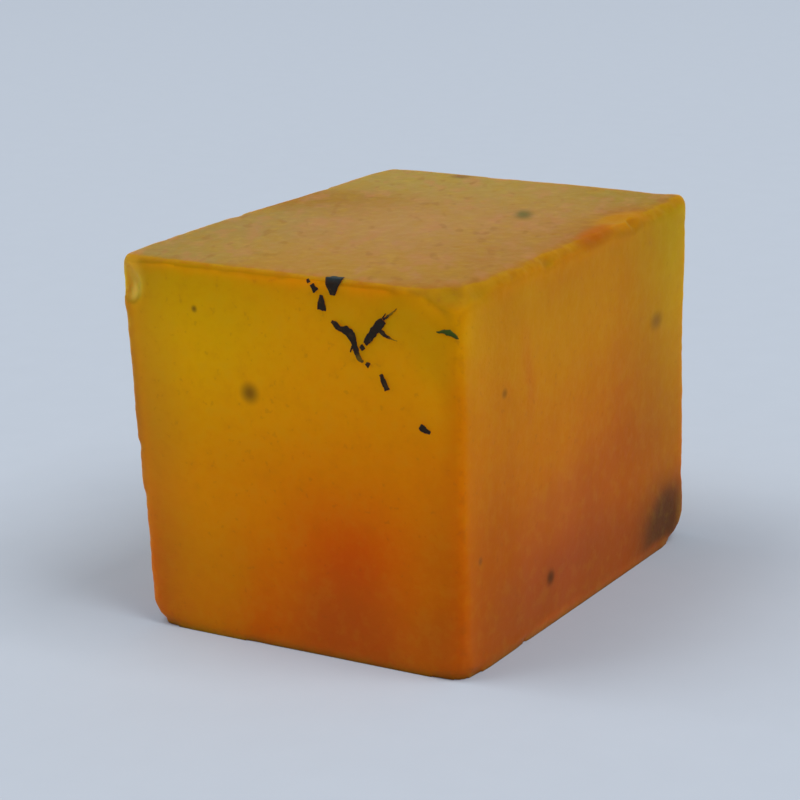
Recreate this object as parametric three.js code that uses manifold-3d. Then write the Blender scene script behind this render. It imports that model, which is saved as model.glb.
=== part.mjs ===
// Rough sapphire: one block of cloudy yellow-orange stone, sawn on six sides and not yet cut.
// The six saw cuts are a little out of square and very slightly wavy. Every edge is worn round, the corners
// are worn further, small chips are missing along the edges, and the top face has small open pits.
// Millimetres, +Z up, front face towards -Y, right face towards +X. The block stands on its flat bottom
// face at z = 0, and the origin is under the middle of the block, at that height.

import * as THREE from "three";
import { mergeVertices } from "three/addons/utils/BufferGeometryUtils.js";
import Module from "manifold-3d";

// ---- Driving dimensions ----

const WIDTH = 18.4;
const DEPTH = 24.0;
const HEIGHT = 19.2;

// The eight corners. "side" is the end of X, Y and Z that the corner is on, "shift" is how far the saw cuts
// carry it from the plain box's corner, and "wear" is the radius that it is worn to.
const CORNERS = {
  frontLeftBottom: { side: [-1, -1, -1], shift: [-0.14, -0.2, 0], wear: 1.8 },
  frontRightBottom: { side: [1, -1, -1], shift: [-0.16, 0.06, 0], wear: 1.1 },
  backRightBottom: { side: [1, 1, -1], shift: [-0.09, -0.12, 0], wear: 2.4 },
  backLeftBottom: { side: [-1, 1, -1], shift: [0.22, 0.04, 0], wear: 1.3 },
  frontLeftTop: { side: [-1, -1, 1], shift: [-0.79, -0.37, 0.14], wear: 0.7 },
  frontRightTop: { side: [1, -1, 1], shift: [0.22, 0.01, -0.22], wear: 1.4 },
  backRightTop: { side: [1, 1, 1], shift: [0.21, 0, -0.05], wear: 0.6 },
  backLeftTop: { side: [-1, 1, 1], shift: [-0.29, 0.18, 0.3], wear: 0.9 },
};

// The twelve edges. "side" has a 0 on the axis that the edge runs along, and "wear" is the edge's radius.
const EDGES = {
  frontTop: { side: [0, -1, 1], wear: 0.26 },
  rightTop: { side: [1, 0, 1], wear: 0.7 },
  backTop: { side: [0, 1, 1], wear: 0.4 },
  leftTop: { side: [-1, 0, 1], wear: 0.35 },
  frontLeft: { side: [-1, -1, 0], wear: 0.5 },
  frontRight: { side: [1, -1, 0], wear: 0.4 },
  backRight: { side: [1, 1, 0], wear: 0.45 },
  backLeft: { side: [-1, 1, 0], wear: 0.6 },
  frontBottom: { side: [0, -1, -1], wear: 0.3 },
  rightBottom: { side: [1, 0, -1], wear: 0.4 },
  backBottom: { side: [0, 1, -1], wear: 0.45 },
  leftBottom: { side: [-1, 0, -1], wear: 0.4 },
};

const CORNER_WEAR_REACH = 2.6; // a corner's wear fades into its edges over this length
const WEAR_UNEVENNESS = 0.3; // share by which an edge's radius grows and shrinks along its length
const WEAR_WAVELENGTH = 7.0;
const SAW_WAVE_HEIGHT = 0.04;
const SAW_WAVELENGTH = 11.0;
const FLAT_FOOT_HEIGHT = 2.0; // the saw waves die out over this height above the flat bottom

const FLATTEST = 1e-5; // anything lower than this is in the bottom face
const MERGED_WITHIN = 1e-4; // grid points closer than this are one

// The waves that every unevenness is made of: the way each one runs, and where it starts, in radians.
const CROSSING_WAVES = [
  { run: [1, 0.6, 0], start: 1.3 },
  { run: [0, 0.8, -0.7], start: 0.4 },
  { run: [0.5, 0, 0.9], start: 2.1 },
];

// The stone's surface lies between these shares of the way from the middle out to the plain box.
const NEAREST_SHARE = 0.5;
const FARTHEST_SHARE = 1.1;
const HALVINGS = 30;

// Grid lines across a face, as distances in from its edges: close together where the stone turns round.
const EDGE_LINES = [0, 0.1, 0.24, 0.42, 0.68, 1.05, 1.6, 2.4, 3.6];
const MIDDLE_SPACING = 2.6;

// Chips missing from the edges. "on" is the place, from -1 to 1 along X, Y and Z of the block, "size" is the
// lost lump's three widths, "depth" is how far it bit into the stone, and "turn" is its turn about Z.
const CHIPS = {
  leftTopFlake: { on: [-0.94, -1, 0.91], size: [2.2, 1.3, 3.2], depth: 0.16, turn: -16 },
  nearCornerScoop: { on: [0.95, -0.98, 1], size: [3.0, 1.9, 1.6], depth: 0.34, turn: 28 },
  nearCornerNickFront: { on: [0.79, -1, 1], size: [1.7, 1.1, 0.9], depth: 0.2, turn: 6 },
  nearCornerNickRight: { on: [1, -0.83, 1], size: [1.1, 2.2, 1.0], depth: 0.24, turn: -10 },
  frontTopNick: { on: [-0.32, -1, 1], size: [1.5, 0.7, 0.7], depth: 0.13, turn: 12 },
  rightTopNickMiddle: { on: [1, -0.28, 1], size: [0.9, 2.1, 0.9], depth: 0.2, turn: 8 },
  rightTopNickBack: { on: [1, 0.5, 1], size: [0.9, 1.6, 0.9], depth: 0.18, turn: -14 },
  leftTopNickNear: { on: [-1, -0.2, 1], size: [0.8, 1.8, 0.8], depth: 0.16, turn: 6 },
  leftTopNickFar: { on: [-1, 0.45, 1], size: [0.8, 1.4, 0.8], depth: 0.14, turn: -10 },
  frontLeftNickHigh: { on: [-1, -1, -0.03], size: [0.7, 0.7, 1.1], depth: 0.13, turn: 45 },
  frontLeftNickLow: { on: [-1, -1, -0.3], size: [0.65, 0.65, 0.9], depth: 0.12, turn: 40 },
  backTopNick: { on: [-0.2, 1, 1], size: [2.0, 0.9, 0.8], depth: 0.16, turn: 4 },
  backLeftChip: { on: [-1, 1, -0.35], size: [1.8, 1.8, 3.2], depth: 0.4, turn: 45 },
  rightBottomNick: { on: [1, -0.55, -1], size: [0.8, 1.8, 0.8], depth: 0.16, turn: 9 },
  frontBottomNick: { on: [-0.3, -1, -1], size: [1.8, 0.7, 0.7], depth: 0.13, turn: -5 },
};

// Open pits in the top face, most of them near its front right corner, placed as the chips are.
const PITS = [
  { on: [0.83, -0.8, 1], width: 0.44, depth: 0.17 },
  { on: [0.64, -0.9, 1], width: 0.34, depth: 0.13 },
  { on: [0.72, -0.56, 1], width: 0.52, depth: 0.19 },
  { on: [0.4, -0.76, 1], width: 0.4, depth: 0.15 },
  { on: [0.12, -0.88, 1], width: 0.32, depth: 0.12 },
  { on: [0.5, -0.34, 1], width: 0.48, depth: 0.17 },
  { on: [-0.08, -0.56, 1], width: 0.38, depth: 0.13 },
  { on: [-0.4, -0.8, 1], width: 0.42, depth: 0.15 },
  { on: [0.8, 0.04, 1], width: 0.46, depth: 0.16 },
  { on: [0.1, 0.28, 1], width: 0.38, depth: 0.14 },
];

const LUMP_UNEVENNESS = 0.1; // share by which a lost lump's surface is uneven
const LUMP_WAVELENGTH = 1.0;
const LUMP_TILT = 23; // degrees about X
const CHIP_DETAIL = 1;
const PIT_DETAIL = 0;

const STONE_COLOUR = 0xb87410;
const STONE_ROUGHNESS = 0.4;

// ---- The worn surface ----

const HALF = [WIDTH / 2, DEPTH / 2, HEIGHT / 2];

// 1 at distance 0, falling smoothly to 0 at the reach.
function fade(distance, reach) {
  return 1 - THREE.MathUtils.smoothstep(distance, 0, reach);
}

// Distance from a place in the plain box to one of its edges or corners, named by its side.
function distanceTo(side, at) {
  return Math.hypot(...side.map((end, axis) => end * (end * HALF[axis] - at.getComponent(axis))));
}

// A smooth unevenness between -1 and 1, made of waves that cross, the same each time.
function swell(at, wavelength) {
  const perLength = (2 * Math.PI) / wavelength;
  let sum = 0;
  for (const wave of CROSSING_WAVES) {
    sum += Math.sin(perLength * at.dot(new THREE.Vector3(...wave.run)) + wave.start);
  }
  return sum / CROSSING_WAVES.length;
}

// The radius worn at a place: the nearest edge's, blended where edges meet and growing towards a corner.
function wearAt(at) {
  let total = 0;
  let weights = 0;
  for (const edge of Object.values(EDGES)) {
    const weight = 1 / (0.05 + distanceTo(edge.side, at) ** 2) ** 2;
    total += weight * edge.wear;
    weights += weight;
  }
  const along = (total / weights) * (1 + WEAR_UNEVENNESS * swell(at, WEAR_WAVELENGTH));
  let radius = along;
  for (const corner of Object.values(CORNERS)) {
    radius += (corner.wear - along) * fade(distanceTo(corner.side, at), CORNER_WEAR_REACH);
  }
  return radius;
}

// How far a place stands outside the worn block, negative inside: a box with round edges, of a radius
// that changes from place to place, and waves left by the saw.
function heightOver(at) {
  const radius = wearAt(at);
  const past = HALF.map((half, axis) => Math.max(Math.abs(at.getComponent(axis)) - half + radius, 0));
  const waves = 1 - fade(at.z + HALF[2], FLAT_FOOT_HEIGHT);
  return Math.hypot(...past) - radius - SAW_WAVE_HEIGHT * waves * swell(at, SAW_WAVELENGTH);
}

// How far the tilted saw cuts carry a place, shared out between the eight corners.
function cutShift(at) {
  const shift = new THREE.Vector3();
  for (const corner of Object.values(CORNERS)) {
    const shares = corner.side.map((end, axis) => (1 + (end * at.getComponent(axis)) / HALF[axis]) / 2);
    shift.addScaledVector(new THREE.Vector3(...corner.shift), shares[0] * shares[1] * shares[2]);
  }
  return shift;
}

// The place on the stone's surface that lies towards a place on the plain box, given from -1 to 1 on each
// axis: found by halving the way out from the middle.
function surfacePoint(on) {
  const out = new THREE.Vector3(...on.map((share, axis) => share * HALF[axis]));
  let inside = NEAREST_SHARE;
  let outside = FARTHEST_SHARE;
  for (let step = 0; step < HALVINGS; step += 1) {
    const middle = (inside + outside) / 2;
    if (heightOver(out.clone().multiplyScalar(middle)) < 0) {
      inside = middle;
    } else {
      outside = middle;
    }
  }
  const at = out.multiplyScalar(inside);
  at.add(cutShift(at));
  at.z += HALF[2];
  return at;
}

// ---- The block ----

// The places of one axis's grid lines, from -1 at one end to 1 at the other.
function gridLines(length) {
  const last = EDGE_LINES[EDGE_LINES.length - 1];
  const open = length - 2 * last;
  const cells = Math.round(open / MIDDLE_SPACING);
  const middle = Array.from({ length: cells - 1 }, (_, i) => last + (open * (i + 1)) / cells);
  const far = EDGE_LINES.map((distance) => length - distance).reverse();
  return [...EDGE_LINES, ...middle, ...far].map((distance) => (2 * distance) / length - 1);
}

// The sawn and worn block before it was chipped: a box whose grid points are moved to the stone's surface.
function wornBlock() {
  const lines = [WIDTH, DEPTH, HEIGHT].map(gridLines);
  const cells = lines.map((axisLines) => axisLines.length - 1);
  const box = new THREE.BoxGeometry(2, 2, 2, ...cells);
  const places = box.attributes.position;
  for (let i = 0; i < places.count; i += 1) {
    const even = [places.getX(i), places.getY(i), places.getZ(i)];
    const on = even.map((end, axis) => lines[axis][Math.round(((end + 1) / 2) * cells[axis])]);
    const at = surfacePoint(on);
    places.setXYZ(i, at.x, at.y, at.z < FLATTEST ? 0 : at.z);
  }
  return box;
}

// The lost lump of a chip or a pit, a little uneven: it leaves a shell-shaped hollow.
function lump(size, turnDegrees, detail, at) {
  const shape = new THREE.IcosahedronGeometry(0.5, detail);
  const places = shape.attributes.position;
  for (let i = 0; i < places.count; i += 1) {
    const place = new THREE.Vector3().fromBufferAttribute(places, i);
    place.multiplyScalar(1 + LUMP_UNEVENNESS * swell(place.clone().add(at), LUMP_WAVELENGTH));
    places.setXYZ(i, place.x, place.y, place.z);
  }
  shape.scale(...size);
  shape.rotateX(THREE.MathUtils.degToRad(LUMP_TILT));
  shape.rotateZ(THREE.MathUtils.degToRad(turnDegrees));
  shape.translate(at.x, at.y, at.z);
  return shape;
}

// ---- Cutting ----

const wasm = await Module();
wasm.setup();

function toSolid(geometry) {
  geometry.deleteAttribute("normal");
  geometry.deleteAttribute("uv");
  const merged = mergeVertices(geometry, MERGED_WITHIN);
  return new wasm.Manifold(
    new wasm.Mesh({
      numProp: 3,
      vertProperties: merged.attributes.position.array,
      triVerts: new Uint32Array(merged.index.array),
    }),
  );
}

function toGeometry(solid) {
  const mesh = solid.getMesh();
  const geometry = new THREE.BufferGeometry();
  geometry.setAttribute("position", new THREE.Float32BufferAttribute(mesh.vertProperties, 3));
  geometry.setIndex(new THREE.Uint32BufferAttribute(mesh.triVerts, 1));
  return geometry;
}

// The finished block: chips and pits taken out of the worn one.
function chippedBlock() {
  let solid = toSolid(wornBlock());
  for (const chip of Object.values(CHIPS)) {
    const at = surfacePoint(chip.on);
    // Out from the faces that the place is on: those where it reaches a full 1 or -1.
    const away = new THREE.Vector3(...chip.on.map((share) => Math.trunc(share))).normalize();
    at.addScaledVector(away, Math.min(...chip.size) / 2 - chip.depth);
    solid = solid.subtract(toSolid(lump(chip.size, chip.turn, CHIP_DETAIL, at)));
  }
  for (const pit of PITS) {
    const at = surfacePoint(pit.on);
    const size = [pit.width, pit.width, 2 * pit.depth];
    const turn = 90 * pit.on[0]; // no two pits lie the same way
    solid = solid.subtract(toSolid(lump(size, turn, PIT_DETAIL, at)));
  }
  return solid;
}

// Puts the origin under the middle of the block.
function centred(geometry) {
  geometry.computeBoundingBox();
  const middle = geometry.boundingBox.getCenter(new THREE.Vector3());
  geometry.translate(-middle.x, -middle.y, 0);
  geometry.computeVertexNormals();
  return geometry;
}

const stone = new THREE.MeshStandardMaterial({
  color: STONE_COLOUR,
  roughness: STONE_ROUGHNESS,
  metalness: 0,
});
const block = new THREE.Mesh(centred(toGeometry(chippedBlock())), stone);
block.name = "sapphire_block";

const sapphire = new THREE.Group();
sapphire.add(block);

export default sapphire;
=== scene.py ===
"""Rough sapphire: a sawn block of cloudy golden stone with dark mineral grains, on a pale floor."""

import logging
import math
from dataclasses import dataclass
from enum import Enum
from typing import Iterable, Mapping, Sequence

import bpy
from mathutils import Matrix, Vector


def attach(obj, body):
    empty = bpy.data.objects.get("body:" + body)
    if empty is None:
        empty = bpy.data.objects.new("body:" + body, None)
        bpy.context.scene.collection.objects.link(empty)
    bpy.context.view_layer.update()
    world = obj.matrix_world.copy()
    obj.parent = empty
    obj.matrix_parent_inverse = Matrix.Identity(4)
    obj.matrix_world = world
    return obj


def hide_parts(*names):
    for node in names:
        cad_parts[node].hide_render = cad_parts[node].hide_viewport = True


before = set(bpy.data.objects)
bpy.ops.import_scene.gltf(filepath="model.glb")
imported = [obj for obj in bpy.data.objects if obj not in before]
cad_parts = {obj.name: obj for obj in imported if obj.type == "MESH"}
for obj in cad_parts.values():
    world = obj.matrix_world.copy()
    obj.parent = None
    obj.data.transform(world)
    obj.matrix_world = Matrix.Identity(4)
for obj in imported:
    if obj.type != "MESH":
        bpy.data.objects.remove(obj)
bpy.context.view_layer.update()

MM = 0.001
PICTURE_SIDE = 800
SENSOR_WIDTH = 36.0
LOG = logging.getLogger("rough_sapphire")

Span = tuple[float, float]
Triple = tuple[float, float, float]
Operand = "Link | float"


class Slot(Enum):
    """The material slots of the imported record."""

    SAPPHIRE = "sapphire"
    INCLUSION = "inclusion"


# ---- Shader arithmetic ----


class Link:
    """A shader socket that takes part in Python arithmetic; each operation adds its Math node."""

    def __init__(self, shader: "Shader", socket: bpy.types.NodeSocket) -> None:
        """Wraps a socket.

        Args:
            shader: The material that the socket belongs to.
            socket: An output socket.
        """
        self.shader = shader
        self.socket = socket

    def __add__(self, other: Operand) -> "Link":
        """self + other."""
        return self.shader.math("ADD", self, other)

    def __radd__(self, other: float) -> "Link":
        """other + self."""
        return self.shader.math("ADD", other, self)

    def __sub__(self, other: Operand) -> "Link":
        """self - other."""
        return self.shader.math("SUBTRACT", self, other)

    def __rsub__(self, other: float) -> "Link":
        """other - self."""
        return self.shader.math("SUBTRACT", other, self)

    def __mul__(self, other: Operand) -> "Link":
        """self * other."""
        return self.shader.math("MULTIPLY", self, other)

    def __rmul__(self, other: float) -> "Link":
        """other * self."""
        return self.shader.math("MULTIPLY", other, self)

    def fade(self, start: float, end: float) -> "Link":
        """A smooth step of this value.

        Args:
            start: The value at which the step is 0.
            end: The value at which the step is 1; it may be below start.

        Returns:
            The step, from 0 to 1.
        """
        low, high, first, last = (start, end, 0.0, 1.0) if start < end else (end, start, 1.0, 0.0)
        node = self.shader.node(
            "ShaderNodeMapRange",
            {"interpolation_type": "SMOOTHSTEP"},
            {"Value": self, "From Min": low, "From Max": high, "To Min": first, "To Max": last},
        )
        return self.shader.out(node)


class Shader:
    """One node material and the few kinds of node that the finishes use."""

    def __init__(self, name: str) -> None:
        """Makes an empty material with a Principled BSDF.

        Args:
            name: The material's name.
        """
        self.material = bpy.data.materials.new(name)
        self.material.use_nodes = True
        self.tree = self.material.node_tree
        self.surface = self.tree.nodes["Principled BSDF"]
        self.output = self.tree.nodes["Material Output"]

    def node(
        self,
        kind: str,
        settings: Mapping[str, object] | None = None,
        inputs: Mapping[str | int, object] | None = None,
    ) -> bpy.types.Node:
        """Adds a node.

        Args:
            kind: The node's type.
            settings: The node's own settings, set first; "stops" gives a colour ramp's places and colours.
            inputs: Values or links of its sockets, by name or number.

        Returns:
            The new node.
        """
        node = self.tree.nodes.new(kind)
        for name, value in (settings or {}).items():
            if name == "stops":
                self._set_stops(node, value)
            else:
                setattr(node, name, value)
        self.feed(node, inputs or {})
        return node

    def _set_stops(self, node: bpy.types.Node, stops: Sequence[tuple[float, Triple]]) -> None:
        """Sets a colour ramp's stops.

        Args:
            node: The Color Ramp node.
            stops: Places from 0 to 1, in order, each with its colour.
        """
        ramp = node.color_ramp
        ramp.interpolation = "B_SPLINE"
        while len(ramp.elements) < len(stops):
            ramp.elements.new(1.0)
        for element, (place, colour) in zip(ramp.elements, stops):
            element.position = place
            element.color = (*colour, 1.0)

    def feed(self, node: bpy.types.Node, inputs: Mapping[str | int, object]) -> None:
        """Sets or links a node's input sockets.

        Args:
            node: The node.
            inputs: Values or links, by the socket's name or number.
        """
        for key, value in inputs.items():
            if isinstance(value, Link):
                self.tree.links.new(value.socket, node.inputs[key])
            elif isinstance(value, tuple) and node.inputs[key].type == "RGBA":
                node.inputs[key].default_value = (*value, 1.0)
            else:
                node.inputs[key].default_value = value

    def out(self, node: bpy.types.Node, socket: str | int = 0) -> Link:
        """The node's output as a Link."""
        return Link(self, node.outputs[socket])

    def math(self, operation: str, left: Operand, right: Operand) -> Link:
        """A Math node on two operands."""
        return self.out(self.node("ShaderNodeMath", {"operation": operation}, {0: left, 1: right}))

    def vector(
        self, operation: str, left: Link, right: Link | Triple | None = None, scale: float = 1.0
    ) -> Link:
        """Adds a Vector Math node.

        Args:
            operation: The node's operation.
            left: The first vector.
            right: The second vector, where the operation has one.
            scale: The factor of a SCALE operation.

        Returns:
            The result: a number for LENGTH, otherwise a vector.
        """
        inputs: dict[str | int, object] = {0: left}
        if right is not None:
            inputs[1] = right
        if operation == "SCALE":
            inputs["Scale"] = scale
        node = self.node("ShaderNodeVectorMath", {"operation": operation}, inputs)
        return self.out(node, "Value" if operation == "LENGTH" else "Vector")

    def mix(self, factor: Operand, first: Link | Triple, second: Link | Triple, blend: str = "MIX") -> Link:
        """Mixes two colours.

        Args:
            factor: How much of the second colour shows.
            first: The colour at factor 0.
            second: The colour at factor 1.
            blend: The Mix node's blend type.

        Returns:
            The mixed colour.
        """
        settings = {"data_type": "RGBA", "blend_type": blend, "clamp_factor": True}
        return self.out(self.node("ShaderNodeMix", settings, {0: factor, 6: first, 7: second}), 2)

    def place(self) -> Link:
        """The place on the piece, in millimetres."""
        coordinates = self.out(self.node("ShaderNodeTexCoord"), "Object")
        return self.vector("SCALE", coordinates, scale=1.0 / MM)

    def local(self, place: Link, centre: Triple, turn: Triple, reach: Triple) -> Link:
        """The place as an ellipsoid sees it, with its surface at a length of 1.

        Args:
            place: The place on the piece.
            centre: The ellipsoid's centre.
            turn: Its turn about X, Y and Z, in degrees.
            reach: Its half sizes.

        Returns:
            The place from the centre, turned back and shrunk by the reach.
        """
        angles = tuple(math.radians(angle) for angle in turn)
        inputs = {"Vector": place, "Location": centre, "Rotation": angles, "Scale": reach}
        return self.out(self.node("ShaderNodeMapping", {"vector_type": "TEXTURE"}, inputs))

    def axes(self, place: Link) -> tuple[Link, Link, Link]:
        """The x, y and z of a vector."""
        node = self.node("ShaderNodeSeparateXYZ", {}, {0: place})
        return self.out(node, "X"), self.out(node, "Y"), self.out(node, "Z")

    def noise(
        self, place: Link, scale: float, detail: float = 2.0, roughness: float = 0.5
    ) -> bpy.types.Node:
        """Adds a Noise Texture node.

        Args:
            place: Where the noise is read, in millimetres.
            scale: Waves in one millimetre.
            detail: How many finer layers it has.
            roughness: How strong the finer layers are.

        Returns:
            The node: output 0 is a number and output 1 a colour.
        """
        inputs = {"Vector": place, "Scale": scale, "Detail": detail, "Roughness": roughness}
        return self.node("ShaderNodeTexNoise", {"noise_dimensions": "3D"}, inputs)


# ---- Finishes ----


@dataclass(frozen=True)
class Cloud:
    """A soft-edged cloud of colour in the stone: an ellipsoid, in millimetres.

    It shows with its full strength out to "core", a share of its reach, and is turned by "turn", in degrees.
    """

    name: str
    centre: Triple
    reach: Triple
    colour: Triple
    strength: float = 1.0
    core: float = 0.0
    turn: Triple = (0.0, 0.0, 0.0)

    def mask(self, shader: Shader, place: Link) -> Link:
        """How much of the cloud's colour shows.

        Args:
            shader: The material.
            place: The place on the piece.

        Returns:
            A value from 0 outside the cloud to its strength inside.
        """
        distance = shader.vector("LENGTH", shader.local(place, self.centre, self.turn, self.reach))
        return distance.fade(1.0, self.core) * self.strength


@dataclass(frozen=True)
class SapphireFinish:
    """Cloudy golden stone: yellow above, orange and red below, with a frosted sawn skin."""

    height: float = 19.5
    depth_stops: tuple[tuple[float, Triple], ...] = (
        (0.0, (0.615, 0.079, 0.0025)),
        (0.2, (0.591, 0.100, 0.0005)),
        (0.4, (0.867, 0.324, 0.0004)),
        (0.6, (0.689, 0.291, 0.0003)),
        (0.8, (0.778, 0.547, 0.0003)),
        (1.0, (0.221, 0.232, 0.0004)),
    )
    clouds: tuple[Cloud, ...] = (
        Cloud("brow", (0.0, 0.0, 19.9), (60.0, 60.0, 1.6), (0.55, 0.295, 0.0004), 0.9, 0.35),
        Cloud("left_gold", (-11.5, 4.0, 10.0), (4.5, 18.0, 18.0), (0.68, 0.32, 0.0006), 0.9, 0.55),
        Cloud("back_gold", (-3.0, 14.2, 10.0), (15.0, 5.0, 18.0), (0.66, 0.29, 0.0006), 0.9, 0.55),
        Cloud("left_ember", (-9.8, 5.5, 4.5), (3.5, 8.5, 8.0), (0.56, 0.12, 0.001), 0.8, 0.0),
        Cloud("left_honey", (-9.8, -3.0, 14.5), (3.5, 7.0, 5.5), (0.82, 0.44, 0.0004), 0.7, 0.1),
        Cloud("back_ember", (3.5, 12.4, 5.5), (7.5, 3.5, 7.5), (0.52, 0.105, 0.001), 0.8, 0.0),
        Cloud("back_honey", (-4.5, 12.4, 13.5), (6.0, 3.5, 5.0), (0.82, 0.42, 0.0004), 0.7, 0.1),
        Cloud("orange_heart", (4.0, -13.8, 8.2), (10.8, 12.2, 16.9), (0.77, 0.21, 0.0003), 0.82, 0.25),
        Cloud("red_blush", (3.3, -12.3, 5.4), (6.1, 3.9, 5.0), (0.656, 0.057, 0.0012), 0.75, 0.0),
        Cloud(
            "brown_foot", (3.2, -12.1, 0.6), (6.2, 3.5, 6.2), (0.451, 0.062, 0.0065), 0.76, 0.16, (0, 8, 0)
        ),
        Cloud("gold_brow", (-2.4, -12.3, 14.8), (16.5, 2.8, 6.6), (0.88, 0.385, 0.0004), 0.55, 0.34),
        Cloud("left_haze", (-10.6, -12.2, 7.7), (5.6, 4.0, 26.5), (0.362, 0.143, 0.018), 0.63, 0.0),
        Cloud("left_foot", (-5.6, -12.9, 2.9), (4.0, 3.8, 6.0), (0.821, 0.468, 0.0016), 0.29, 0.22),
        Cloud("near_foot", (11.3, -8.4, 4.5), (6.9, 8.4, 11.1), (0.432, 0.088, 0.002), 1.0, 0.22),
        Cloud("right_amber", (10.4, -1.6, 14.2), (3.0, 19.3, 11.9), (0.494, 0.13, 0.0003), 0.78, 0.38),
        Cloud("rose", (9.5, 5.0, 6.0), (4.0, 15.0, 8.4), (0.455, 0.098, 0.0031), 1.0, 0.14),
        Cloud("dusk", (8.5, -0.4, 1.5), (4.4, 15.1, 4.5), (0.335, 0.066, 0.0082), 0.92, 0.34),
        Cloud("far_ochre", (9.5, 11.2, 12.4), (3.2, 9.7, 14.4), (0.322, 0.16, 0.0022), 0.48, 0.19),
        Cloud("far_olive", (9.6, 9.7, 0.6), (2.6, 5.5, 5.2), (0.121, 0.041, 0.01), 0.92, 0.15),
        Cloud("streak", (10.1, -5.7, 13.8), (1.8, 0.9, 4.1), (0.512, 0.122, 0.0023), 0.68, 0.08, (6, 0, 0)),
        Cloud("flame", (9.8, 3.3, 18.6), (1.6, 4.2, 1.6), (0.453, 0.181, 0.0024), 0.88, 0.14, (7, 0, 0)),
        Cloud("dark_toe", (9.9, 9.2, 1.5), (3.0, 3.6, 2.3), (0.098, 0.03, 0.01), 1.0, 0.3, (28, 0, 0)),
        Cloud("olive_toe", (9.6, 12.0, 1.6), (2.4, 1.5, 2.2), (0.19, 0.085, 0.01), 0.85, 0.3, (20, 0, 0)),
        Cloud("right_middle", (9.8, -2.2, 4.6), (3.0, 7.1, 4.5), (0.357, 0.058, 0.013), 0.35, 0.34),
        Cloud("corner_gold", (8.8, -12.0, 17.4), (2.8, 1.9, 3.6), (0.64, 0.305, 0.0003), 0.7, 0.35),
        Cloud("back_corner", (7.3, 13.6, 16.8), (3.4, 2.6, 4.8), (0.69, 0.32, 0.0006), 0.85, 0.2),
        Cloud("left_corner", (-10.9, -8.6, 16.4), (2.4, 3.6, 4.6), (0.7, 0.35, 0.0006), 0.85, 0.2),
        # Painted light: the lowest band of the stone is lightened where the floor shades it.
        Cloud("foot_painted_light", (0.0, 0.0, -0.2), (60.0, 60.0, 0.9), (0.76, 0.14, 0.01), 0.4, 0.2),
    )
    # Painted shade: darkens the left edge of the front against the left softbox's light on its bevel.
    left_edge_shade: Cloud = Cloud("left_edge_shade", (-9.8, -12.3, 9.0), (1.2, 1.6, 15.0), (0.2, 0.08, 0.018), 0.8, 0.3)
    # Painted shade: the two colours below darken the slopes of the edges that face up.
    rim: Triple = (0.270, 0.130, 0.001)
    rim_shade_tint: Triple = (0.58, 0.60, 0.60)
    stain: Triple = (0.190, 0.070, 0.010)
    blush: Triple = (0.310, 0.132, 0.048)
    straw: Triple = (0.265, 0.142, 0.004)
    # The top's skin: dust, and painted sheen of the grazing reflection off the top.
    skin: Triple = (0.251, 0.115, 0.015)
    skin_clouds: tuple[Cloud, ...] = (
        Cloud("lemon_back", (-4.7, 9.2, 19.4), (20.3, 11.8, 2.6), (0.244, 0.183, 0.034), 0.76, 0.0),
        Cloud("amber_band", (-5.7, 1.8, 19.4), (6.5, 5.2, 2.5), (0.197, 0.095, 0.0031), 1.0, 0.41),
        Cloud("left_tip", (-6.6, -7.1, 19.3), (5.2, 9.7, 2.5), (0.206, 0.149, 0.029), 0.76, 0.54),
        Cloud("rose_side", (9.0, 4.5, 19.2), (2.2, 8.9, 2.0), (0.223, 0.083, 0.0057), 0.95, 0.25),
        Cloud("far_corner", (7.1, 10.0, 19.2), (4.7, 3.0, 2.5), (0.201, 0.135, 0.013), 0.75, 0.19),
        Cloud("near_brow", (0.1, -8.6, 19.3), (9.8, 4.6, 2.0), (0.298, 0.159, 0.0072), 0.45, 0.4),
        Cloud("middle_tan", (-0.1, -1.0, 19.2), (11.5, 12.9, 2.5), (0.279, 0.145, 0.036), 1.0, 0.01),
    )
    spots: tuple[Cloud, ...] = (
        Cloud("sunk_speck", (-2.2, -12.1, 13.0), (0.75, 0.9, 0.75), (0.1, 0.04, 0.006), 0.75, 0.05),
        Cloud("brown_speck", (-5.2, -12.2, 16.9), (0.24, 0.4, 0.26), (0.12, 0.045, 0.004), 0.8, 0.1),
        Cloud("right_low_speck", (9.4, -3.5, 2.6), (0.75, 0.62, 0.62), (0.08, 0.024, 0.006), 0.9, 0.1),
        Cloud("right_far_speck", (9.6, 8.3, 13.1), (0.7, 1.1, 0.75), (0.2, 0.085, 0.006), 0.8, 0.05),
        Cloud("right_near_speck", (9.6, -8.0, 13.3), (0.5, 0.4, 0.36), (0.22, 0.08, 0.004), 0.8, 0.1),
        Cloud("right_edge_speck", (9.4, -10.4, 5.7), (0.4, 0.28, 0.32), (0.24, 0.07, 0.01), 0.8, 0.1),
        Cloud(
            "green_fleck", (4.1, 4.0, 19.2), (0.75, 1.7, 0.6), (0.085, 0.074, 0.01), 0.9, 0.1, (0, 0, 28)
        ),
        Cloud(
            "corner_stain", (8.8, -9.2, 19.0), (0.32, 0.6, 0.4), (0.2, 0.08, 0.004), 0.8, 0.1, (0, 0, 28)
        ),
        Cloud("back_speck", (-3.9, 11.2, 19.3), (0.9, 0.7, 0.8), (0.12, 0.05, 0.012), 0.7, 0.2),
    )
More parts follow.
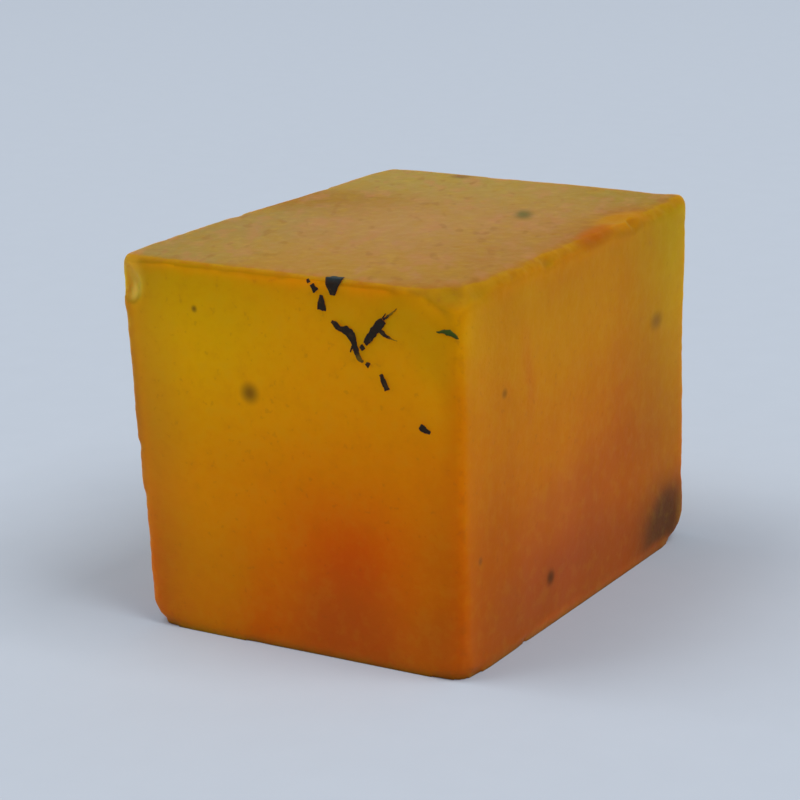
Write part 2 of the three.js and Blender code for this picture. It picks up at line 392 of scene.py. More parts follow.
    # Chip marks on the edges, and the painted highlight of the left top flake.
    scars_and_highlight: tuple[Cloud, ...] = (
        Cloud("amber_lip", (9.6, 5.2, 19.1), (1.9, 3.0, 1.0), (0.33, 0.14, 0.001), 0.95, 0.55, (0, 0, -4)),
        Cloud("flame_lip", (9.25, 1.9, 19.0), (0.85, 3.0, 0.9), (0.29, 0.08, 0.001), 0.95, 0.3, (0, 0, 8)),
        Cloud("left_brow", (-9.6, -11.9, 18.4), (0.9, 1.2, 1.6), (0.34, 0.22, 0.03), 0.7, 0.3),
        # Painted highlight: the chip facet at the left top corner is lightened against the shade in its
        # hollow, with a painted glint at its brightest spot.
        Cloud("flake_painted_light", (-8.9, -12.15, 18.05), (1.05, 0.9, 1.35), (0.64, 0.44, 0.036), 0.75, 0.3),
        Cloud("flake_painted_glint", (-8.95, -12.1, 17.45), (0.4, 0.5, 0.6), (0.85, 0.66, 0.1), 0.75, 0.1),
    )
    drift_waves: float = 0.16
    drift_reach: float = 1.6
    # Painted shade: the slopes over which the edges are darkened, and how strongly.
    shade_slope: Span = (-0.02, 0.30)
    rim_shade_slope: Span = (0.30, 0.75)
    rim_shade_strength: float = 0.65
    skin_slope: Span = (0.84, 0.98)
    skin_height: Span = (18.55, 18.88)
    # Painted shade is lessened over this stretch along X, at the near corner.
    less_shaded_corner: Span = (5.6, 7.2)
    mottle_deep: Triple = (0.42, 0.12, 0.006)
    mottle_pale: Triple = (0.60, 0.36, 0.02)
    streak_waves: Triple = (0.3, 0.32, 0.05)
    streak_pale: Triple = (1.10, 1.12, 1.60)
    streak_deep: Triple = (0.96, 0.82, 0.50)
    streak_strength: float = 0.6
    dust_turn: Triple = (0.0, 0.0, 28.0)
    dust_stretch: Triple = (1.0, 2.2, 1.0)
    relief_height: float = 0.06 * MM
    relief_strength: float = 0.35
    roughness: float = 0.42
    roughness_drift: float = 0.22
    refraction: float = 1.76
    specular_level: float = 0.025
    specular_tint: Triple = (1.0, 0.80, 0.20)
    transmission: float = 0.08
    scatter_radius: Triple = (1.0, 0.42, 0.12)
    scatter_scale: float = 2.6 * MM
    absorption_colour: Triple = (0.95, 0.55, 0.05)
    absorption_density: float = 60.0

    def make(self) -> bpy.types.Material:
        """Builds the material."""
        shader = Shader("cloudy_golden_stone")
        place = shader.place()
        grain = shader.noise(place, 1.1, 4.0, 0.6)
        colour = self._body_colour(shader, place)
        colour = self._skin_colour(shader, place, colour)
        roughness = self.roughness + self.roughness_drift * shader.out(grain)
        shader.feed(
            shader.surface,
            {
                "Base Color": colour,
                "Roughness": roughness,
                "IOR": self.refraction,
                "Specular IOR Level": self.specular_level,
                "Specular Tint": self.specular_tint,
                "Transmission Weight": self.transmission,
                "Subsurface Weight": 1.0,
                "Subsurface Radius": Vector(self.scatter_radius),
                "Subsurface Scale": self.scatter_scale,
                "Normal": self._relief(shader, place),
            },
        )
        settings = {"Color": self.absorption_colour, "Density": self.absorption_density}
        volume = shader.node("ShaderNodeVolumeAbsorption", {}, settings)
        shader.feed(shader.output, {"Volume": shader.out(volume)})
        return shader.material

    def _body_colour(self, shader: Shader, place: Link) -> Link:
        """The colour inside the stone, which runs on through every face.

        Args:
            shader: The material.
            place: The place on the piece.

        Returns:
            The colour.
        """
        waves = shader.out(shader.noise(place, self.drift_waves, 3.0), 1)
        drift = shader.vector("SUBTRACT", waves, (0.5, 0.5, 0.5))
        warped = shader.vector("ADD", place, shader.vector("SCALE", drift, scale=self.drift_reach))
        _, _, height = shader.axes(warped)
        level = height * (1.0 / self.height)
        ramp = shader.node("ShaderNodeValToRGB", {"stops": self.depth_stops}, {0: level})
        colour = shader.out(ramp)
        for cloud in self.clouds:
            colour = shader.mix(cloud.mask(shader, warped), colour, cloud.colour)
        return colour

    def _skin_colour(self, shader: Shader, place: Link, colour: Link) -> Link:
        """Lays the painted shade of the edges, the sawn skin of dust and painted sheen, the spots, the chip
        marks and the left flake's painted highlight over the stone's colour.

        Args:
            shader: The material.
            place: The place on the piece.
            colour: The colour inside the stone.

        Returns:
            The colour of the surface.
        """
        rightward, _, upward = shader.axes(shader.out(shader.node("ShaderNodeTexCoord"), "Normal"))
        across, _, height = shader.axes(place)
        mottle = shader.out(shader.noise(place, 1.3, 3.0, 0.65))
        # Painted shade: the left edge is darker on the front face alone, against the left softbox's light on
        # its bevel.
        edge = self.left_edge_shade.mask(shader, place) * rightward.fade(-0.90, -0.45)
        colour = shader.mix(edge, colour, self.left_edge_shade.colour)
        # Painted shade: the top edges are darkened where their slopes face up, less so on the right and at
        # the near corner.
        shaded = 1.0 - 0.60 * rightward.fade(0.20, 0.60)
        shaded = shaded - 0.75 * across.fade(*self.less_shaded_corner) * rightward.fade(0.20, 0.05)
        colour = shader.mix(upward.fade(*self.shade_slope) * shaded, colour, self.rim_shade_tint, "MULTIPLY")
        # Painted shade: slopes that face up are mixed toward a deep orange.
        colour = shader.mix(upward.fade(*self.rim_shade_slope) * self.rim_shade_strength, colour, self.rim)
        colour = self._streaks(shader, place, rightward.fade(0.6, 0.9), colour)
        skin: Link | Triple = self.skin
        for cloud in self.skin_clouds:
            skin = shader.mix(cloud.mask(shader, place), skin, cloud.colour)
        # Dust, with painted sheen of the top's grazing reflection, lies on what faces up near the top, with
        # a ragged border.
        top = (upward + 0.16 * (mottle - 0.5)).fade(*self.skin_slope) * height.fade(*self.skin_height)
        colour = shader.mix(top, colour, self._dust_and_sheen(shader, place, skin))
        colour = shader.mix(mottle.fade(0.42, 0.75) * 0.10, colour, self.mottle_deep)
        colour = shader.mix(mottle.fade(0.55, 0.30) * 0.08, colour, self.mottle_pale)
        # Spots and chip marks, with the painted highlight of the left top flake.
        for spot in self.spots + self.scars_and_highlight:
            colour = shader.mix(spot.mask(shader, place), colour, spot.colour)
        freckles = shader.out(shader.noise(place, 2.6, 2.0, 0.55)).fade(0.64, 0.74)
        colour = shader.mix(freckles * 0.12, colour, self.stain)
        wear = shader.out(shader.node("ShaderNodeAttribute", {"attribute_name": StoneBlock.WEAR}), "Fac")
        return shader.mix(wear * mottle.fade(0.50, 0.66) * 0.15, colour, self.stain)

    def _streaks(self, shader: Shader, place: Link, right: Link, colour: Link) -> Link:
        """Lays faint upright streaks of dust over the right face.

        Args:
            shader: The material.
            place: The place on the piece.
            right: How much a point faces to the right.
            colour: The colour without them.

        Returns:
            The colour with them.
        """
        stretched = shader.vector("MULTIPLY", place, self.streak_waves)
        streak = shader.out(shader.noise(stretched, 1.0, 1.0, 0.4))
        pale = streak.fade(0.48, 0.72) * right * self.streak_strength
        deep = streak.fade(0.52, 0.30) * right * self.streak_strength
        colour = shader.mix(pale, colour, self.streak_pale, "MULTIPLY")
        return shader.mix(deep, colour, self.streak_deep, "MULTIPLY")

    def _dust_and_sheen(self, shader: Shader, place: Link, skin: Link | Triple) -> Link:
        """Mottles the top's skin of dust and painted sheen with pinkish blotches and soft brown freckles.

        Args:
            shader: The material.
            place: The place on the piece.
            skin: The skin's colour without them.

        Returns:
            The colour with them.
        """
        local = shader.local(place, (0.0, 0.0, 0.0), self.dust_turn, self.dust_stretch)
        blotch = shader.out(shader.noise(local, 0.9, 2.0, 0.6))
        colour = shader.mix(blotch.fade(0.48, 0.70) * 0.55, skin, self.blush)
        colour = shader.mix(blotch.fade(0.48, 0.30) * 0.35, colour, self.straw)
        freckles = shader.out(shader.noise(local, 1.7, 0.5, 0.5))
        return shader.mix(freckles.fade(0.62, 0.78) * 0.45, colour, self.stain)

    def _relief(self, shader: Shader, place: Link) -> Link:
        """The fine relief of the sawn faces.

        Args:
            shader: The material.
            place: The place on the piece.

        Returns:
            The shading normal.
        """
        coarse = shader.out(shader.noise(place, 2.2, 3.0, 0.55))
        fine = shader.out(shader.noise(place, 9.0, 2.0, 0.5))
        height = coarse + 0.35 * fine
        inputs = {"Height": height, "Strength": self.relief_strength, "Distance": self.relief_height}
        return shader.out(shader.node("ShaderNodeBump", {}, inputs))


@dataclass(frozen=True)
class MineralFinish:
    """Near-black mineral of the grains grown into the stone."""

    dark: Triple = (0.020, 0.012, 0.007)
    brown: Triple = (0.055, 0.030, 0.012)
    teal: Triple = (0.016, 0.020, 0.018)
    tints: tuple[Cloud, ...] = (
        Cloud("leaf_green", (8.9, -12.0, 17.0), (1.4, 1.5, 1.4), (0.04, 0.064, 0.006), 1.0, 0.6),
        Cloud("wedge_teal", (2.84, -11.7, 19.25), (0.9, 1.2, 0.42), (0.014, 0.03, 0.036), 0.9, 0.3),
        Cloud("tail_brown", (4.15, -12.0, 15.35), (0.45, 1.5, 0.36), (0.15, 0.085, 0.004), 0.8, 0.2),
        Cloud("twig_brown", (6.08, -12.0, 17.8), (0.5, 1.5, 0.46), (0.24, 0.13, 0.003), 0.9, 0.2),
        Cloud("spur_brown", (6.15, -12.0, 16.45), (0.48, 1.5, 0.36), (0.32, 0.17, 0.003), 0.9, 0.2),
    )

    def make(self) -> bpy.types.Material:
        """Builds the material."""
        shader = Shader("dark_mineral")
        place = shader.place()
        patches = shader.out(shader.noise(place, 3.0, 3.0, 0.6))
        colour = shader.mix(patches.fade(0.48, 0.70) * 0.8, self.dark, self.brown)
        colour = shader.mix(patches.fade(0.46, 0.30) * 0.7, colour, self.teal)
        for tint in self.tints:
            colour = shader.mix(tint.mask(shader, place), colour, tint.colour)
        relief = {"Height": patches, "Strength": 0.5, "Distance": 0.05 * MM}
        bump = shader.node("ShaderNodeBump", {}, relief)
        shader.feed(
            shader.surface,
            {
                "Base Color": colour,
                "Roughness": 0.45 + 0.3 * patches,
                "Specular IOR Level": 0.10,
                "Normal": shader.out(bump),
            },
        )
        return shader.material


@dataclass(frozen=True)
class PaperFinish:
    """Plain pale matt sheet of the floor."""

    colour: Triple = (0.41, 0.455, 0.515)

    def make(self) -> bpy.types.Material:
        """Builds the material."""
        shader = Shader("pale_floor")
        place = shader.place()
        tooth = shader.out(shader.noise(place, 0.4, 2.0))
        darker = tuple(0.97 * part for part in self.colour)
        shader.feed(
            shader.surface,
            {
                "Base Color": shader.mix(tooth, self.colour, darker),
                "Roughness": 0.85,
                "Specular IOR Level": 0.1,
            },
        )
        return shader.material


# ---- Modelling by hand ----


class Workbench:
    """Small steps of mesh work that the pieces share."""

    @staticmethod
    def pick(piece: bpy.types.Object) -> None:
        """Deselects everything, then selects this piece alone and makes it active."""
        bpy.ops.object.select_all(action="DESELECT")
        piece.select_set(True)
        bpy.context.view_layer.objects.active = piece

    @staticmethod
    def apply(piece: bpy.types.Object, kind: str, **settings: object) -> None:
        """Adds a modifier and applies it.

        Args:
            piece: The piece.
            kind: The modifier's type.
            **settings: The modifier's own settings.
        """
        Workbench.pick(piece)
        modifier = piece.modifiers.new(kind.lower(), kind)
        for name, value in settings.items():
            setattr(modifier, name, value)
        bpy.ops.object.modifier_apply(modifier=modifier.name)

    @staticmethod
    def clouds(name: str, size: float, depth: int = 2) -> bpy.types.Texture:
        """A cloud texture for a Displace modifier.

        Args:
            name: The texture's name.
            size: The size of its lumps, in metres.
            depth: How many finer layers it has.

        Returns:
            The texture.
        """
        texture = bpy.data.textures.new(name, "CLOUDS")
        texture.noise_scale = size
        texture.noise_depth = depth
        return texture

    @staticmethod
    def select_vertices(piece: bpy.types.Object, numbers: Iterable[int]) -> None:
        """Selects these vertices alone, in edit mode.

        Args:
            piece: The piece, in edit mode.
            numbers: The vertices' numbers.
        """
        bpy.ops.mesh.select_all(action="DESELECT")
        bpy.ops.object.mode_set(mode="OBJECT")
        for number in numbers:
            piece.data.vertices[number].select = True
        bpy.ops.object.mode_set(mode="EDIT")

    @staticmethod
    def open(piece: bpy.types.Object, numbers: Iterable[int]) -> None:
        """Opens a piece in edit mode, with these vertices alone selected.

        Args:
            piece: The piece.
            numbers: The vertices' numbers.
        """
        Workbench.pick(piece)
        bpy.ops.object.mode_set(mode="EDIT")
        bpy.ops.mesh.select_mode(type="VERT")
        Workbench.select_vertices(piece, numbers)


@dataclass(frozen=True)
class CornerPull:
    """A corner that is drawn out a little, by proportional editing; all in millimetres."""

    name: str
    place: Triple
    pull: Triple
    reach: float


@dataclass(frozen=True)
class Nick:
    """A small chip: its cutter's centre and half sizes, in millimetres, and turn about Z, in degrees."""

    centre: Triple
    size: Triple
    turn: float


@dataclass
class StoneBlock:
    """The stone itself: the worn block, refined, with its small chips and the grain of its sawn faces."""

    WEAR = "wear"

    name: str = "golden_stone"
    node: str = "sapphire_block"
    body: str = "root"
    voxel: float = 0.165 * MM
    grain_size: float = 0.55 * MM
    grain_height: float = 0.010 * MM
    fray_size: float = 0.75 * MM
    fray_depth: float = 0.12 * MM
    foot_height: float = 0.22 * MM
    edge_lean: Span = (0.012, 0.152)
    still_below: float = 0.5 * MM
    chip_lumps: float = 0.9 * MM
    chip_depth: float = 0.35 * MM
    soft_place: Triple = (8.7, -11.0, 18.7)
    soft_reach: float = 3.0 * MM
    soft_rounds: int = 16
    corners: tuple[CornerPull, ...] = (
        CornerPull("left_foot", (-8.5, -11.9, 0.6), (-0.34, -0.12, -0.12), 2.2),
        CornerPull("near_foot", (9.3, -11.9, 0.4), (0.0, -0.10, -0.06), 2.2),
        CornerPull("far_foot", (9.3, 11.8, 0.7), (0.16, 0.36, -0.12), 2.4),
        CornerPull("far_top", (9.5, 12.0, 19.0), (0.0, 0.20, 0.10), 1.6),
        CornerPull("right_foot", (9.05, -6.15, 0.1), (0.18, 0.0, -0.05), 0.7),
    )
    nicks: tuple[Nick, ...] = (
        Nick((9.66, -5.10, 19.06), (0.12, 0.30, 0.10), -6.0),
        Nick((9.85, 4.90, 19.46), (2.10, 2.60, 0.50), -4.0),
        Nick((9.66, 9.10, 19.10), (0.16, 0.50, 0.16), -9.0),
        Nick((7.90, -12.08, 19.13), (0.26, 0.13, 0.12), 10.0),
        Nick((5.10, -12.08, 19.14), (0.30, 0.14, 0.12), 6.0),
        Nick((-4.10, -12.18, 19.28), (0.36, 0.14, 0.13), -5.0),
        Nick((9.50, -11.92, 11.2), (0.15, 0.15, 0.34), 45.0),
        Nick((9.48, -11.90, 6.10), (0.14, 0.14, 0.30), 45.0),
        Nick((9.42, -11.86, 2.60), (0.16, 0.16, 0.40), 45.0),
        Nick((-9.08, -12.54, 18.10), (0.80, 0.34, 1.25), -32.0),
        Nick((-9.40, -4.20, 19.28), (0.16, 0.36, 0.16), 7.0),
        Nick((-5.00, 12.20, 19.44), (0.42, 0.18, 0.18), -4.0),
        Nick((3.60, 12.20, 0.05), (0.45, 0.18, 0.18), 5.0),
    )

    def build(self, finish: bpy.types.Material) -> bpy.types.Object:
        """Makes the stone.

        Args:
            finish: Its material.

        Returns:
            The finished piece.
        """
        block = self._merged_copy()
        self._draw_out_corners(block)
        Workbench.apply(block, "REMESH", mode="VOXEL", voxel_size=self.voxel, adaptivity=0.0)
        Workbench.apply(block, "SMOOTH", factor=0.5, iterations=2)
        self._fray_edges(block)
        self._cut_nicks(block)
        self._grain_faces(block)
        self._square_foot(block)
        self._soften_corner(block)
        self._mark_wear(block)
        Workbench.pick(block)
        bpy.ops.object.shade_smooth_by_angle(angle=math.radians(50.0))
        block.data.materials.clear()
        block.data.materials.append(finish)
        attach(block, self.body)
        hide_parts(self.node)
        return block

    def _merged_copy(self) -> bpy.types.Object:
        """A copy of the CAD block with its loose triangles merged."""
        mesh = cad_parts[self.node].data.copy()
        mesh.materials.clear()
        block = bpy.data.objects.new(self.name, mesh)
        bpy.context.scene.collection.objects.link(block)
        Workbench.pick(block)
        bpy.ops.object.mode_set(mode="EDIT")
        bpy.ops.mesh.select_all(action="SELECT")
        bpy.ops.mesh.remove_doubles(threshold=0.0005 * MM)
        bpy.ops.object.mode_set(mode="OBJECT")
        return block

    def _draw_out_corners(self, block: bpy.types.Object) -> None:
        """Draws the less worn corners out a little, by proportional editing."""
        for corner in self.corners:
            place = Vector(corner.place) * MM
            nearest = min(block.data.vertices, key=lambda vertex: (vertex.co - place).length)
            Workbench.open(block, [nearest.index])
            bpy.ops.transform.translate(
                value=Vector(corner.pull) * MM,
                use_proportional_edit=True,
                proportional_edit_falloff="SMOOTH",
                proportional_size=corner.reach * MM,
            )
            bpy.ops.object.mode_set(mode="OBJECT")

    def _square_foot(self, block: bpy.types.Object) -> None:
        """Flattens the lowest part of the stone onto the floor, so that its bottom edge stays crisp."""
        lowest = [vertex.index for vertex in block.data.vertices if vertex.co.z < self.foot_height]
        Workbench.open(block, lowest)
        bpy.ops.transform.resize(value=(1.0, 1.0, 0.0), center_override=(0.0, 0.0, 0.0))
        bpy.ops.object.mode_set(mode="OBJECT")

    def _soften_corner(self, block: bpy.types.Object) -> None:
        """Wears the old chips of the near top corner down by smoothing."""
        place = Vector(self.soft_place) * MM
        vertices = block.data.vertices
        worn = [vertex.index for vertex in vertices if (vertex.co - place).length < self.soft_reach]
        Workbench.open(block, worn)
        bpy.ops.mesh.vertices_smooth(factor=0.5, repeat=self.soft_rounds)
        bpy.ops.object.mode_set(mode="OBJECT")

    def _bend(self, vertex: bpy.types.MeshVertex) -> float:
        """How far a vertex's normal leans from the nearest of the three axes.

        Args:
            vertex: The vertex.

        Returns:
            0 on a flat face, rising to 1 on an edge.
        """
        lean = 1.0 - max(abs(part) for part in vertex.normal)
        flat, sharp = self.edge_lean
        share = min(max((lean - flat) / (sharp - flat), 0.0), 1.0)
        return share * share * (3.0 - 2.0 * share)

    def _fray_edges(self, block: bpy.types.Object) -> None:
        """Wears the edges unevenly, by a displacement that reaches only them."""
        group = block.vertex_groups.new(name="edges")
        for vertex in block.data.vertices:
            share = self._bend(vertex)
            if share > 0.0 and vertex.co.z > self.still_below:
                group.add([vertex.index], share, "REPLACE")
        Workbench.apply(
            block,
            "DISPLACE",
            texture=Workbench.clouds("edge_wear", self.fray_size),
            texture_coords="LOCAL",
            vertex_group=group.name,
            strength=-self.fray_depth,
            mid_level=0.46,
        )
        block.vertex_groups.clear()

    def _cut_nicks(self, block: bpy.types.Object) -> None:
        """Breaks small chips out of the edges with shaped cutters."""
        bpy.ops.object.select_all(action="DESELECT")
        bpy.ops.mesh.primitive_ico_sphere_add(subdivisions=3, radius=MM, location=(0.0, 0.0, 0.0))
        pattern = bpy.context.active_object
        Workbench.apply(
            pattern,
            "DISPLACE",
            texture=Workbench.clouds("chip_lumps", self.chip_lumps),
            strength=self.chip_depth,
        )
        cutters = []
        for nick in self.nicks:
            cutter = bpy.data.objects.new("cutter", pattern.data.copy())
            turned = Matrix.Rotation(math.radians(nick.turn), 4, "Z") @ Matrix.Diagonal((*nick.size, 1.0))
            cutter.data.transform(Matrix.Translation(Vector(nick.centre) * MM) @ turned)
            bpy.context.scene.collection.objects.link(cutter)
            cutters.append(cutter)
        bpy.data.objects.remove(pattern)
        Workbench.pick(cutters[0])
        for cutter in cutters:
            cutter.select_set(True)
        bpy.ops.object.join()
        joined = bpy.context.active_object
        Workbench.apply(block, "BOOLEAN", operation="DIFFERENCE", solver="MANIFOLD", object=joined)
        bpy.data.objects.remove(joined)

    def _grain_faces(self, block: bpy.types.Object) -> None:
        """Raises the faint unevenness of the sawn faces, all but the one it stands on."""
        group = block.vertex_groups.new(name="faces")
        raised = [vertex.index for vertex in block.data.vertices if vertex.co.z > 0.05 * MM]
        group.add(raised, 1.0, "REPLACE")
        Workbench.apply(
            block,
            "DISPLACE",
            texture=Workbench.clouds("sawn_grain", self.grain_size),
            texture_coords="LOCAL",
            vertex_group=group.name,
            strength=2.0 * self.grain_height,
            mid_level=0.8,
        )
        block.vertex_groups.clear()

    def _mark_wear(self, block: bpy.types.Object) -> None:
        """Stores how worn each point is, which the finish reads."""
        wear = block.data.attributes.new(self.WEAR, "FLOAT", "POINT")
        for vertex in block.data.vertices:
            wear.data[vertex.index].value = self._bend(vertex)


@dataclass
class Grain:
    """One dark grain: places along the front face, each with the grain's width there, in millimetres."""

    BROW = 19.0  # the height, in millimetres, above which the face leans back from a grain
    VOXEL = 0.035 * MM
    OUTLINE_LUMPS = {"X": 0.22 * MM, "Z": 0.17 * MM}

    name: str
    stations: tuple[tuple[float, float, float], ...]
    depth: float = 0.30
    rough: float = 0.12

    def _surface(self, stone: bpy.types.Object, across: float, up: float, proud: float) -> Vector:
        """A point just in front of the stone's front face.

        Args:
            stone: The stone.
            across: The place along X, in millimetres.
            up: The height, in millimetres.
            proud: How far it stands in front of the face, in metres.

        Returns:
            The point, in metres.
        """
        start = Vector((across, -20.0, min(up, self.BROW))) * MM
        found, point, _, _ = stone.ray_cast(start, Vector((0.0, 1.0, 0.0)))
        if not found:
            raise ValueError(f"{self.name}: no stone behind ({across}, {up})")
        return Vector((across * MM, point.y - proud, up * MM))

    def _rim(self, number: int) -> tuple[tuple[float, float], tuple[float, float]]:
        """The left and right outline points at a station.

        Args:
            number: The station's number.

        Returns:
            Two places (across, up).
        """
        before = self.stations[max(number - 1, 0)]
        after = self.stations[min(number + 1, len(self.stations) - 1)]
        run = Vector((after[0] - before[0], after[1] - before[1])).normalized()
        across, up, width = self.stations[number]
        side = Vector((-run.y, run.x)) * (width / 2.0)
        return (across + side.x, up + side.y), (across - side.x, up - side.y)

    def _last_pair(self, piece: bpy.types.Object) -> tuple[int, int]:
        """The numbers of the piece's last two vertices."""
        count = len(piece.data.vertices)
        return count - 2, count - 1

    def _move(self, piece: bpy.types.Object, number: int, goal: Vector) -> None:
        """Moves one vertex to a goal, in edit mode.

        Args:
            piece: The piece.
            number: The vertex's number.
            goal: Where it goes.
        """
        Workbench.select_vertices(piece, [number])
        step = goal - piece.data.vertices[number].co
        bpy.ops.transform.translate(value=step)

    def build(self, stone: bpy.types.Object, finish: bpy.types.Material, proud: float) -> bpy.types.Object:
        """Models the grain: a plane drawn out along the stations, then given depth and a rough outline.

        Args:
            stone: The stone that it sits in.
            finish: Its material.
            proud: How far it stands in front of the face, in metres.

        Returns:
            The grain.
        """
        bpy.ops.object.select_all(action="DESELECT")
        bpy.ops.mesh.primitive_plane_add(size=0.1 * MM, location=(0.0, 0.0, 0.0))
        piece = bpy.context.active_object
        piece.name = piece.data.name = self.name
        bpy.ops.object.mode_set(mode="EDIT")
        for number in range(len(self.stations)):
            left, right = (self._surface(stone, *spot, proud) for spot in self._rim(number))
            if number < 2:
                pair = (2 * number, 2 * number + 1)
            else:
                Workbench.select_vertices(piece, self._last_pair(piece))
                bpy.ops.mesh.extrude_region_move()
                bpy.ops.object.mode_set(mode="OBJECT")
                bpy.ops.object.mode_set(mode="EDIT")
                pair = self._last_pair(piece)
            self._move(piece, pair[0], left)
            self._move(piece, pair[1], right)
        bpy.ops.mesh.select_all(action="SELECT")
        bpy.ops.mesh.extrude_region_move(TRANSFORM_OT_translate={"value": (0.0, self.depth * MM, 0.0)})
        bpy.ops.mesh.select_all(action="SELECT")
        bpy.ops.mesh.normals_make_consistent(inside=False)
        bpy.ops.object.mode_set(mode="OBJECT")
        Workbench.apply(piece, "REMESH", mode="VOXEL", voxel_size=self.VOXEL)
        for axis, size in self.OUTLINE_LUMPS.items():
            texture = Workbench.clouds(f"{self.name}_{axis}", size, 3)
            Workbench.apply(
                piece,
                "DISPLACE",
                texture=texture,
                texture_coords="LOCAL",
                direction=axis,
                strength=self.rough * MM,
            )
        Workbench.apply(piece, "SMOOTH", factor=0.5, iterations=1)
        Workbench.pick(piece)
        bpy.ops.object.shade_smooth_by_angle(angle=math.radians(60.0))
        piece.data.materials.append(finish)
        return piece


@dataclass
class InclusionTrail:
    """The trail of dark grains across the upper part of the front face."""

    body: str = "root"
    proud: float = 0.03 * MM
    grains: tuple[Grain, ...] = (
        Grain("speck_first", ((1.44, 18.94, 0.20), (1.56, 18.78, 0.22))),
        Grain("speck_second", ((1.69, 18.71, 0.26), (1.90, 18.41, 0.34))),
        Grain(
            "block_grain",
            ((2.17, 18.25, 0.20), (2.17, 18.00, 0.36), (2.16, 17.74, 0.46), (2.15, 17.50, 0.50)),
        ),
        Grain(
            "wedge_grain",
            (
                (2.84, 19.10, 0.90), (2.84, 18.96, 0.87), (2.79, 18.80, 0.74), (2.82, 18.54, 0.54),
                (2.80, 18.28, 0.28),
            ),
            depth=0.42,
            rough=0.05,
        ),
        Grain(
            "left_branch",
            (
                (2.68, 17.03, 0.16), (2.88, 16.90, 0.30), (3.14, 16.70, 0.30), (3.42, 16.70, 0.44),
                (3.68, 16.54, 0.50), (3.82, 16.26, 0.38), (3.90, 15.92, 0.30),
            ),
        ),
        Grain(
            "right_branch",
            (
                (4.46, 16.11, 0.24), (4.68, 16.38, 0.36), (4.98, 16.76, 0.42), (5.30, 17.12, 0.46),
                (5.53, 17.35, 0.34),
            ),
        ),
        Grain("branch_knot", ((4.20, 15.85, 0.22), (4.39, 16.00, 0.28))),
        Grain("tip_twig", ((5.52, 17.38, 0.15), (5.85, 17.62, 0.11), (6.28, 17.98, 0.05))),
        Grain("short_twig", ((5.46, 17.44, 0.08), (5.66, 17.70, 0.05))),
        Grain(
            "side_spur",
            (
                (5.16, 16.94, 0.20), (5.42, 16.76, 0.24), (5.66, 16.61, 0.17), (5.92, 16.52, 0.07),
                (6.24, 16.42, 0.05),
            ),
        ),
        Grain(
            "stem",
            ((3.90, 15.98, 0.30), (3.99, 15.62, 0.30), (4.12, 15.38, 0.26), (4.32, 15.22, 0.16)),
        ),
        Grain("stem_knot", ((4.46, 15.18, 0.20), (4.66, 15.09, 0.26))),
        Grain("stem_twig", ((3.80, 15.98, 0.13), (3.62, 15.62, 0.07))),
        Grain("rod", ((5.26, 14.74, 0.20), (5.40, 14.39, 0.30), (5.57, 14.00, 0.30))),
        Grain("comma", ((7.28, 12.48, 0.28), (7.46, 12.36, 0.34), (7.84, 12.20, 0.16))),
        Grain(
            "leaf",
            (
                (8.36, 17.06, 0.07), (8.66, 17.12, 0.16), (8.98, 17.11, 0.34), (9.18, 16.96, 0.20),
                (9.38, 16.79, 0.05),
            ),
        ),
    )

    def build(self, stone: bpy.types.Object, finish: bpy.types.Material) -> list[bpy.types.Object]:
        """Makes the grains.

        Args:
            stone: The stone that they sit in.
            finish: Their material.

        Returns:
            The grains.
        """
        pieces = []
        for grain in self.grains:
            piece = grain.build(stone, finish, self.proud)
            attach(piece, self.body)
            pieces.append(piece)
        return pieces


# ---- Studio ----


def direction(azimuth: float, elevation: float) -> Vector:
    """The direction from the stone to something around it.

    Args:
        azimuth: 0 in front of it and 90 to its right, in degrees.
        elevation: The angle above the floor, in degrees.

    Returns:
        A unit vector.
    """
    turn, lift = math.radians(azimuth), math.radians(elevation)
    return Vector((math.sin(turn) * math.cos(lift), -math.cos(turn) * math.cos(lift), math.sin(lift)))


@dataclass
class StudioFloor:
    """A round pale floor whose far rim curves up."""

    radius: float = 1.2
    rim_steps: int = 8
    rim_radius: float = 0.18

    def build(self, finish: bpy.types.Material) -> bpy.types.Object:
        """Makes the floor.

        Args:
            finish: Its material.

        Returns:
            The floor.
        """
        bpy.ops.object.select_all(action="DESELECT")
        bpy.ops.mesh.primitive_circle_add(
            vertices=96, radius=self.radius, fill_type="NGON", location=(0.0, 0.0, 0.0)
        )
        floor = bpy.context.active_object
        floor.name = floor.data.name = "studio_floor"
        bpy.ops.object.mode_set(mode="EDIT")
        bpy.ops.mesh.select_all(action="SELECT")
        bpy.ops.mesh.select_mode(type="EDGE")
        bpy.ops.mesh.region_to_loop()
        reach = self.radius
        for step in range(1, self.rim_steps + 1):
            angle = math.radians(90.0 * step / self.rim_steps)
            before = math.radians(90.0 * (step - 1) / self.rim_steps)
            goal = self.radius + self.rim_radius * math.sin(angle)
            rise = self.rim_radius * (math.cos(before) - math.cos(angle))
            bpy.ops.mesh.extrude_region_move(TRANSFORM_OT_translate={"value": (0.0, 0.0, rise)})
            growth = goal / reach
            bpy.ops.transform.resize(value=(growth, growth, 1.0), center_override=(0.0, 0.0, 0.0))
            reach = goal
        bpy.ops.mesh.select_all(action="SELECT")
        bpy.ops.mesh.select_mode(type="VERT")
        bpy.ops.object.mode_set(mode="OBJECT")
        bpy.ops.object.shade_smooth_by_angle(angle=math.radians(30.0))
        floor.data.materials.append(finish)
        return floor


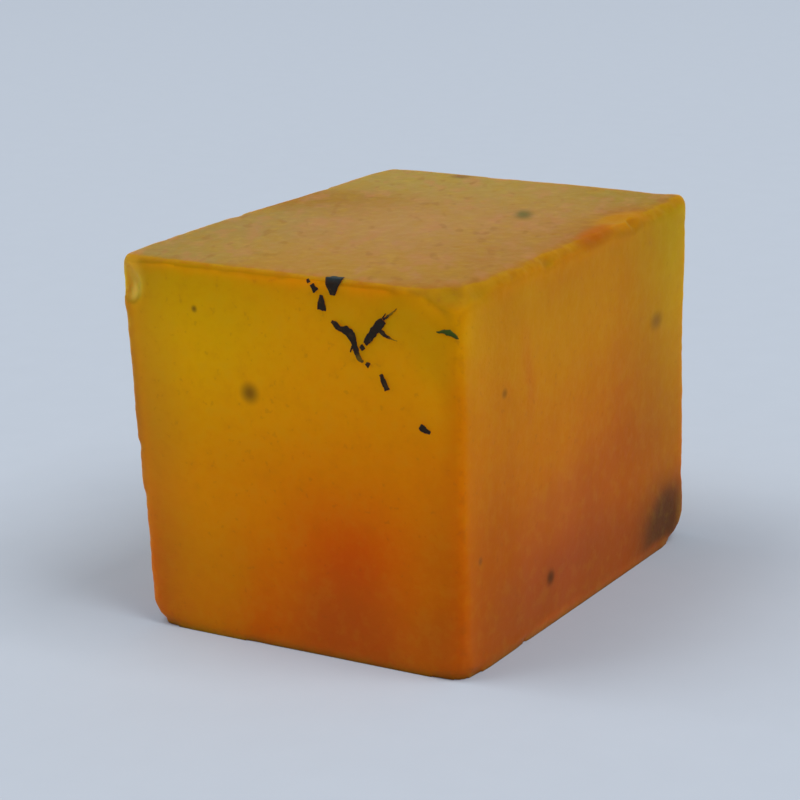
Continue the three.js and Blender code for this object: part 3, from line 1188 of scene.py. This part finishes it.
@dataclass(frozen=True)
class Softbox:
    """One large square lamp that faces the stone."""

    name: str
    azimuth: float
    elevation: float
    power: float
    size: float = 1.2
    distance: float = 2.0
    colour: Triple = (0.995, 0.99, 0.98)

    def build(self) -> None:
        """Makes the lamp."""
        lamp = bpy.data.lights.new(self.name, "AREA")
        lamp.size = self.size
        lamp.energy = self.power
        lamp.color = self.colour
        holder = bpy.data.objects.new(self.name, lamp)
        away = direction(self.azimuth, self.elevation)
        holder.location = away * self.distance
        holder.rotation_mode = "QUATERNION"
        holder.rotation_quaternion = away.to_track_quat("Z", "Y")
        bpy.context.scene.collection.objects.link(holder)


@dataclass
class StudioLight:
    """Even light from all around, with a softbox to each side of the camera."""

    sky_colour: Triple = (0.83, 0.87, 0.96)
    sky_strength: float = 0.495
    softboxes: tuple[Softbox, ...] = (
        Softbox("left_softbox", azimuth=-60.0, elevation=61.0, power=20.4),
        Softbox("right_softbox", azimuth=90.0, elevation=55.0, power=27.3),
    )

    def build(self) -> None:
        """Makes the sky and the lamps."""
        world = bpy.data.worlds.new("soft_sky")
        world.use_nodes = True
        sky = world.node_tree.nodes["Background"]
        sky.inputs["Color"].default_value = (*self.sky_colour, 1.0)
        sky.inputs["Strength"].default_value = self.sky_strength
        bpy.context.scene.world = world
        for softbox in self.softboxes:
            softbox.build()


@dataclass
class StudioCamera:
    """The camera: near, a little above the stone and in front of its right corner."""

    azimuth: float = 32.4102
    elevation: float = 15.8228
    roll: float = -2.1386
    distance: float = 120.1953 * MM
    aim: Triple = (-0.9144 * MM, -0.6711 * MM, 9.8364 * MM)
    focal_pixels: float = 2300.0

    def build(self) -> bpy.types.Object:
        """Makes the camera and makes it the scene's."""
        turn, roll = math.radians(self.azimuth), math.radians(self.roll)
        away = direction(self.azimuth, self.elevation)
        level = Vector((math.cos(turn), math.sin(turn), 0.0))
        rise = away.cross(level)
        right = math.cos(roll) * level + math.sin(roll) * rise
        up = math.cos(roll) * rise - math.sin(roll) * level
        place = Vector(self.aim) + away * self.distance
        lens = bpy.data.cameras.new("studio_camera")
        lens.sensor_width = SENSOR_WIDTH
        lens.lens = self.focal_pixels / PICTURE_SIDE * SENSOR_WIDTH
        lens.clip_start = 0.01
        lens.clip_end = 10.0
        camera = bpy.data.objects.new("studio_camera", lens)
        turned = Matrix((right, up, away)).transposed().to_4x4()
        camera.matrix_world = Matrix.Translation(place) @ turned
        bpy.context.scene.collection.objects.link(camera)
        bpy.context.scene.camera = camera
        return camera


def report(piece: bpy.types.Object) -> None:
    """Logs a piece and its number of faces."""
    LOG.info("%s: %d faces", piece.name, len(piece.data.polygons))


def main() -> None:
    """Builds the scene."""
    logging.basicConfig(level=logging.INFO, format="%(name)s: %(message)s")
    bpy.context.scene.view_settings.view_transform = "Standard"
    StudioCamera().build()
    StudioLight().build()
    report(StudioFloor().build(PaperFinish().make()))
    stone = StoneBlock().build(SapphireFinish().make())
    report(stone)
    bpy.context.view_layer.update()
    for grain in InclusionTrail().build(stone, MineralFinish().make()):
        report(grain)


if __name__ == "__main__":
    main()
